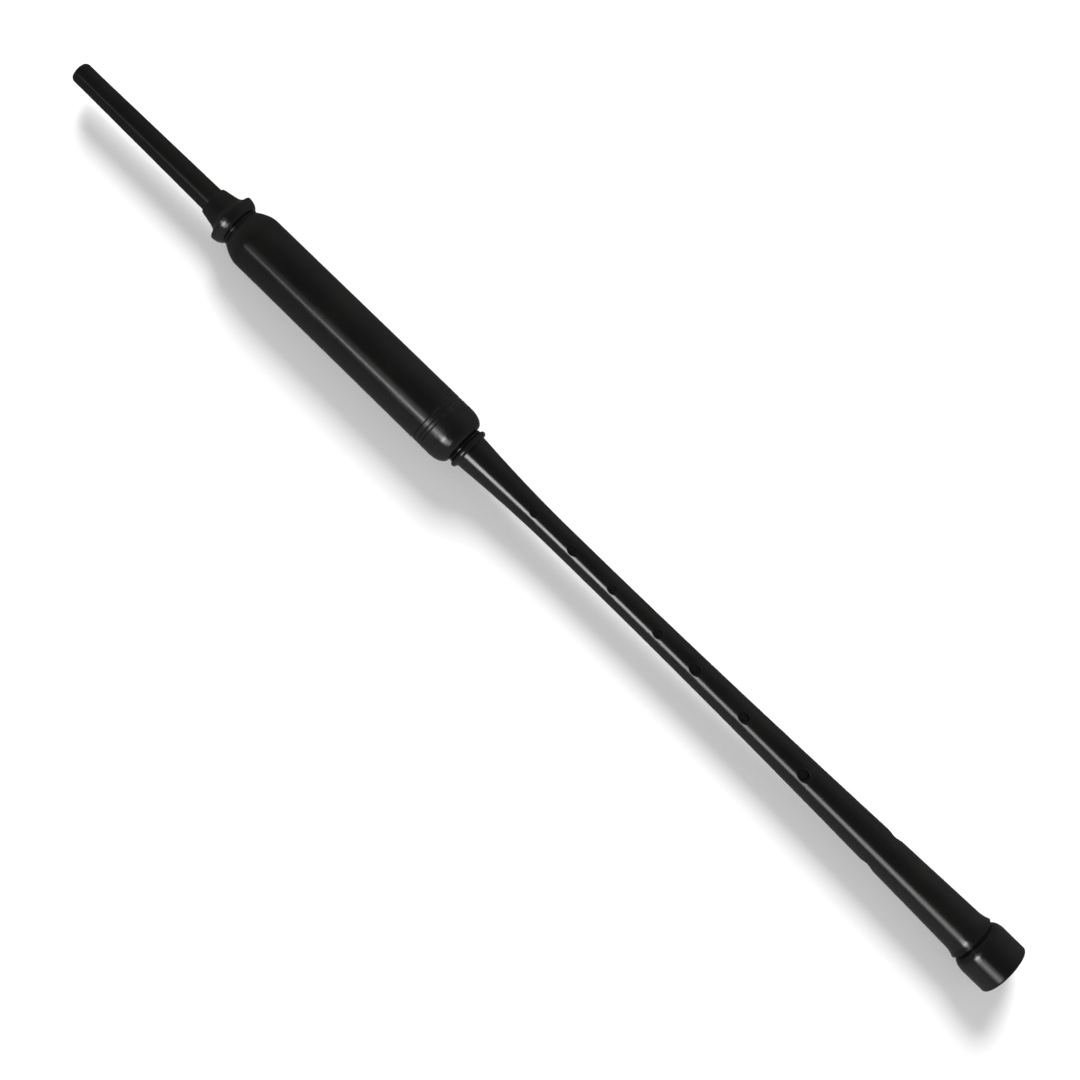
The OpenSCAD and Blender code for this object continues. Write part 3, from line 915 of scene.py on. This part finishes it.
def make_chanter():
    holes = chanter_holes()
    stations = pipe_stations(holes)
    neck_depth = (BEAD_R - BEAD_ROUND - NECK_R) / BEAD_ROUND
    bead_start = 180 + math.degrees(math.asin(neck_depth)) - BEAD_GAP_DEGREES
    outer = [(CHANTER_END, LOWER_TENON_R), (SOLE_TOP, LOWER_TENON_R), (SOLE_TOP, SOLE_NECK_R)]
    outer += stretch_of(foot_flare_r, FOOT_EDGE_X, FOOT_TOP, 14)[:-1]
    outer += [(x, chanter_r(x)) for x in stations]
    outer += arc(BEAD_X, BEAD_R - BEAD_ROUND, BEAD_ROUND, BEAD_ROUND, bead_start, 0, 24)
    outer += [(SHOULDER, TENON_R), (TENON_GROOVE[0], TENON_R), (TENON_GROOVE[0], TENON_GROOVE_R)]
    outer += [(TENON_GROOVE[1], TENON_GROOVE_R), (TENON_GROOVE[1], TENON_R)]
    outer += [(TENON_TOP - TENON_CHAMFER, TENON_R), (TENON_TOP, TENON_R - TENON_CHAMFER)]
    bore = [(TENON_TOP, REED_SEAT_R), (REED_SEAT, REED_SEAT_R), (REED_SEAT, BORE_R)]
    bore += [(x, BORE_R) for x in reversed(stations)] + [(CHANTER_END, BORE_R)]
    plastic = black_plastic("chanter_plastic", shift=3, holes=True)
    make_turned("chanter_pipe", "chanter_body", "chanter", plastic, outer, bore, holes)


# ---------------------------------------------------------------- the other turned pieces

def make_turned(name, node, body, material, outer, bore, holes=()):
    """A turned piece that stands for a CAD node. outer runs up its outside and bore runs back down."""
    shell = Shell()
    shell.lathe(soften(outer, bore), holes)
    shell.build(name, body, material, node)


def make_sole():
    outer = arc(SOLE_EDGE, SOLE_R - SOLE_EDGE, SOLE_EDGE, SOLE_EDGE, 180, 90, 10)
    outer += arc(SOLE_TOP - SOLE_SHOULDER, SOLE_NECK_R, SOLE_SHOULDER, SOLE_R - SOLE_NECK_R, 90, 0, 18)
    bore = [(SOLE_TOP, SOLE_SOCKET_R), (SOLE_WALL, SOLE_SOCKET_R), (SOLE_WALL, SOLE_OPENING_R)]
    bore += [(SOLE_END, SOLE_OPENING_R)]
    make_turned("sole_ring", "sole", "chanter", black_plastic("sole_plastic", shift=31), outer, bore)


def make_chamber():
    half = RIM_WIDTH / 2
    outer = arc(CHAMBER_END + half, RIM_R - half, half, half, 180, 0, 16) + [(DOME_END, RIM_GROOVE_R)]
    outer += arc(DOME_END + DOME_LENGTH, DOME_R, DOME_LENGTH, CHAMBER_R - DOME_R, 180, 90, 24)
    for drop in ENGRAVED_DROPS:
        x = SHOULDER + drop
        outer += [(x - ENGRAVED_HALF, CHAMBER_R), (x, CHAMBER_R - ENGRAVED_DEPTH)]
        outer += [(x + ENGRAVED_HALF, CHAMBER_R)]
    shoulder_start = CHAMBER_TOP - CHAMBER_SHOULDER

    def shoulder_r(x):
        share = (x - shoulder_start) / CHAMBER_SHOULDER
        return CHAMBER_TOP_R - (CHAMBER_TOP_R - CHAMBER_NECK_R) * share ** CHAMBER_SHOULDER_POWER

    outer += stretch_of(shoulder_r, shoulder_start, CHAMBER_TOP, 24)
    bore = [(CHAMBER_TOP, MOUNT_SOCKET_R), (MOUNT_SOCKET, MOUNT_SOCKET_R), (MOUNT_SOCKET, SOCKET_R)]
    bore += [(CHAMBER_END, SOCKET_R)]
    dull = (DOME_END + DOME_LENGTH + 1.5, SHOULDER + ENGRAVED_DROPS[-1])
    plastic = black_plastic("chamber_plastic", shift=57, satin=dull)
    make_turned("reed_chamber_tube", "reed_chamber", "top_section", plastic, outer, bore)


def make_mount():
    half = MOUNT_RING / 2
    edge_x = CHAMBER_TOP + MOUNT_RING + MOUNT_BULGE

    def flare_r(x):
        share = (MOUNT_TOP - x) / (MOUNT_TOP - edge_x)
        return MOUNT_TOP_R + (MOUNT_R - MOUNT_TOP_R - LIP_FLARE) * share + LIP_FLARE * share ** LIP_POWER

    outer = [(MOUNT_END, MOUNT_TENON_R), (CHAMBER_TOP, MOUNT_TENON_R)]
    outer += arc(CHAMBER_TOP + half, MOUNT_RING_R - half, half, half, 180, 0, 14)
    outer += arc(edge_x, MOUNT_BULGE_R, MOUNT_BULGE, MOUNT_R - MOUNT_BULGE_R, 180, 90, 20)
    outer += stretch_of(flare_r, edge_x, MOUNT_TOP, 48)[1:]
    bore = [(MOUNT_TOP, MOUTHPIECE_SOCKET_R), (MOUNT_STOP, MOUTHPIECE_SOCKET_R), (MOUNT_STOP, BLOW_BORE_R)]
    bore += [(MOUNT_END, BLOW_BORE_R)]
    plastic = black_plastic("mount_plastic", shift=83)
    make_turned("flared_mount", "projecting_mount", "top_section", plastic, outer, bore)


def make_mouthpiece():
    low, high = MOUTHPIECE_GROOVE
    tenon_r = MOUTHPIECE_TENON_R
    outer = [(MOUTHPIECE_END, tenon_r - TENON_CHAMFER), (MOUTHPIECE_END + TENON_CHAMFER, tenon_r)]
    outer += [(low, tenon_r), (low, MOUTHPIECE_GROOVE_R), (high, MOUTHPIECE_GROOVE_R)]
    outer += [(high, tenon_r), (MOUTHPIECE_BASE, tenon_r), (MOUTHPIECE_BASE, MOUTHPIECE_R)]
    outer += [(TIP - MOUTHPIECE_STRAIGHT - TIP_ROUND, MOUTHPIECE_TIP_R)]
    outer += arc(TIP - TIP_ROUND, MOUTHPIECE_TIP_R - TIP_ROUND, TIP_ROUND, TIP_ROUND, 90, 0, 14)
    bore = [(TIP, BLOW_BORE_R), (MOUTHPIECE_END, BLOW_BORE_R)]
    plastic = black_plastic("mouthpiece_plastic", shift=109)
    make_turned("mouthpiece_tube", "mouthpiece", "mouthpiece", plastic, outer, bore)


def make_reed_body():
    low, high = REED_GROOVE
    outer = [(REED_END, REED_SPIGOT_R), (low, REED_SPIGOT_R), (low, REED_GROOVE_R), (high, REED_GROOVE_R)]
    outer += [(high, REED_SPIGOT_R), (REED_FLANGE[0], REED_SPIGOT_R), (REED_FLANGE[0], REED_FLANGE_R)]
    outer += [(REED_FLANGE[1], REED_FLANGE_R), (REED_FLANGE[1], REED_HEAD_R)]
    outer += [(BLADE_BEND - 1, REED_HEAD_R), (REED_HEAD_TOP, REED_HEAD_TOP_R)]
    bore = [(REED_HEAD_TOP, REED_TUBE_R), (REED_END, REED_TUBE_R)]
    plastic = moulded_plastic("reed_body_plastic", REED_DARK, REED_LIGHT, roughness=0.42, glow=0.1)
    make_turned("reed_tube", "reed_body", "reed", plastic, outer, bore)


# ---------------------------------------------------------------- windings of thread

def strand_section(radius, path_length, steps):
    """Rings of a two-ply thread, twisted as it goes and tapered at both ends."""
    def section(i):
        along = i / steps * path_length
        size = radius * min(1, 0.25 + along / STRAND_TAPER, 0.25 + (path_length - along) / STRAND_TAPER)
        twist = 2 * math.pi * along / STRAND_TWIST
        points = []
        for side in range(STRAND_SIDES):
            turn = 2 * math.pi * side / STRAND_SIDES
            reach = size * (1 - STRAND_LOBE + STRAND_LOBE * math.cos(2 * (turn - twist)))
            fibre = turn - twist
            strand = (along * 0.35, math.cos(fibre) * 1.4, math.sin(fibre) * 1.4)
            points.append((reach * math.cos(turn), reach * math.sin(turn), strand))
        return points
    return section


def wind(shell, low, high, centre_r, thread_r, turns, start_turn, wander):
    """One thread wound from station low to high, with small uneven steps as a hand leaves them."""
    path_length = abs(turns) * 2 * math.pi * centre_r
    steps = max(12, round(path_length / STRAND_STEP))
    path = []
    for i in range(steps + 1):
        share = i / steps
        turn = 2 * math.pi * turns * share + start_turn
        ease = math.sin(math.pi * share) ** 0.2
        drift = wander * ease * (math.sin(turn * 0.73) + 0.6 * math.sin(turn * 1.31 + 1))
        lift = 0.3 * wander * ease * math.sin(turn * 0.41 + 2)
        radius = centre_r + lift
        x = low + (high - low) * share + drift
        path.append(Vector((x, radius * math.cos(turn), radius * math.sin(turn))))
    shell.tube(path, strand_section(thread_r, path_length, steps))


def make_winding(name, node, body, material, thread_r, crossing):
    """A core ring under wound thread, all inside the CAD winding's own ring.

    crossing is how many slanting turns go back over the others, or 0 for none.
    """
    low, high, outer_r = span(node)
    start, end = low + CORE_EDGE, high - CORE_EDGE
    inner_r = WINDING_INNER[node]
    core_r = outer_r - CORE_DEPTH * thread_r
    shell = Shell()
    shell.lathe(soften([(start, inner_r), (start, core_r), (end, core_r), (end, inner_r)], []))
    lift = CROSSING_LIFT * thread_r if crossing else 0.0
    centre_r = outer_r - thread_r - lift
    turns = (high - low - 2 * thread_r) / (THREAD_PITCH * thread_r)
    inset = THREAD_INSET * thread_r
    wander = THREAD_WANDER * thread_r
    wind(shell, low + inset, high - inset, centre_r, thread_r, turns, 0.4, wander)
    if crossing:
        centre_r = outer_r - CROSSING_DEPTH * thread_r
        wander = CROSSING_WANDER * thread_r
        wind(shell, high - inset, low + inset, centre_r, CROSSING_SIZE * thread_r, -crossing, 2.2, wander)
    shell.build(name, body, material, node)


def make_windings():
    hemp = thread_material("waxed_hemp", HEMP_DARK, HEMP_LIGHT, HEMP_WAXED)
    thread = thread_material("binding_thread", THREAD_DARK, THREAD_LIGHT, THREAD_WAXED)
    for name, node, body, thread_r, crossing in (
        ("tenon_hemp_thread", "tenon_hemp", "tenon_winding", 0.3, 2.6),
        ("mouthpiece_hemp_thread", "mouthpiece_hemp", "mouthpiece_winding", 0.24, 3.4),
        ("reed_seat_thread", "reed_seat_hemp", "reed", 0.2, 1.6),
    ):
        make_winding(name, node, body, hemp, thread_r, crossing)
    make_winding("reed_binding_thread", "reed_binding", "reed", thread, 0.26, 0)


# ---------------------------------------------------------------- reed blades and bridle

def blade_sizes(x):
    """Inside half-width, inside height, thickness and bend of a blade at station x."""
    bend = max(0.0, (x - BLADE_BEND) / (BLADE_TIP - BLADE_BEND))
    width = BLADE_BASE_R + (BLADE_LIP_W - BLADE_BASE_R) * math.sin(math.pi / 2 * bend)
    fall = max(0.0, math.cos(math.pi / 2 * bend)) ** BLADE_FLATTEN
    height = BLADE_LIP_GAP + (BLADE_BASE_R - BLADE_LIP_GAP) * fall
    return width, height, BLADE_BASE_T + (BLADE_LIP_T - BLADE_BASE_T) * bend, bend


def blade_point(x, grow, turn):
    """A point on the blades' oval at station x, grown outwards; turn is in radians."""
    width, height, _, bend = blade_sizes(x)
    s = math.sin(turn)
    rise = math.copysign(abs(s) ** (1 + bend), s) * (height + grow)
    return (x, (width + grow) * math.cos(turn), rise)


def make_blade(name, node, side, plastic):
    """One blade, half a tube at the binding that opens into a wide flat lip. side is 1 above, -1 below."""
    shell = Shell()
    rings = []
    for i in range(BLADE_STATIONS + 1):
        x = BLADE_BASE + (BLADE_TIP - BLADE_BASE) * i / BLADE_STATIONS
        thickness = blade_sizes(x)[2]
        turns = [math.pi * j / BLADE_ACROSS for j in range(BLADE_ACROSS + 1)]
        skin = [blade_point(x, thickness, t) for t in turns]
        lining = [blade_point(x, 0, t) for t in reversed(turns)]
        at_end = 1.0 if i in (0, BLADE_STATIONS) else 0.0
        ring = [shell.add((px, py, side * (pz + BLADE_PARTING)), at_end) for px, py, pz in skin + lining]
        rings.append(ring)
    for a, b in zip(rings, rings[1:]):
        shell.strip(a, b)
    for ring in (rings[0], rings[-1]):
        for j in range(BLADE_ACROSS):
            shell.faces.append((ring[j], ring[j + 1], ring[-2 - j], ring[-1 - j]))
    piece = shell.build(name, "reed", plastic, node)
    bevel = piece.modifiers.new("edges", "BEVEL")
    bevel.width = BLADE_BEVEL * MM
    bevel.segments = 2
    bevel.limit_method = "ANGLE"
    bevel.angle_limit = math.radians(40)
    bevel.harden_normals = False


def make_blades():
    plastic = moulded_plastic("reed_blade_plastic", BLADE_DARK, BLADE_LIGHT, roughness=0.32, glow=0.25)
    make_blade("blade_front", "reed_blade_front", 1, plastic)
    make_blade("blade_back", "reed_blade_back", -1, plastic)


def make_bridle():
    """A rubber band round both blades, rounded at its edges."""
    low, high, _ = span("reed_bridle")
    left, right = low + BRIDLE_CORNER, high - BRIDLE_CORNER
    inner, outer = BRIDLE_GAP + BRIDLE_CORNER, BRIDLE_GAP + BRIDLE_T - BRIDLE_CORNER
    profile = []
    for cx, grow, start in ((right, inner, -90), (right, outer, 0), (left, outer, 90), (left, inner, 180)):
        profile += arc(cx, grow, BRIDLE_CORNER, BRIDLE_CORNER, start, start + 90, CORNER_STEPS)
    shell = Shell()
    rings = []
    for j in range(BRIDLE_AROUND):
        turn = 2 * math.pi * j / BRIDLE_AROUND
        rings.append([shell.add(blade_point(x, blade_sizes(x)[2] + grow, turn)) for x, grow in profile])
    for a, b in zip(rings, rings[1:] + rings[:1]):
        shell.strip(a, b)
    shell.build("bridle_band", "reed", rubber_material(), "reed_bridle")


# ---------------------------------------------------------------- scene

make_camera()
make_sun("key", azimuth=308, elevation=33, spread=25, strength=4.05)
make_sun("fill", azimuth=0, elevation=90, spread=5, strength=1.1, shadow=False)
for panel_name, panel in PANELS.items():
    make_panel(panel_name, *panel)
make_world()
make_floor()

make_sole()
make_chanter()
make_chamber()
make_mount()
make_mouthpiece()
make_windings()
make_reed_body()
make_blades()
make_bridle()
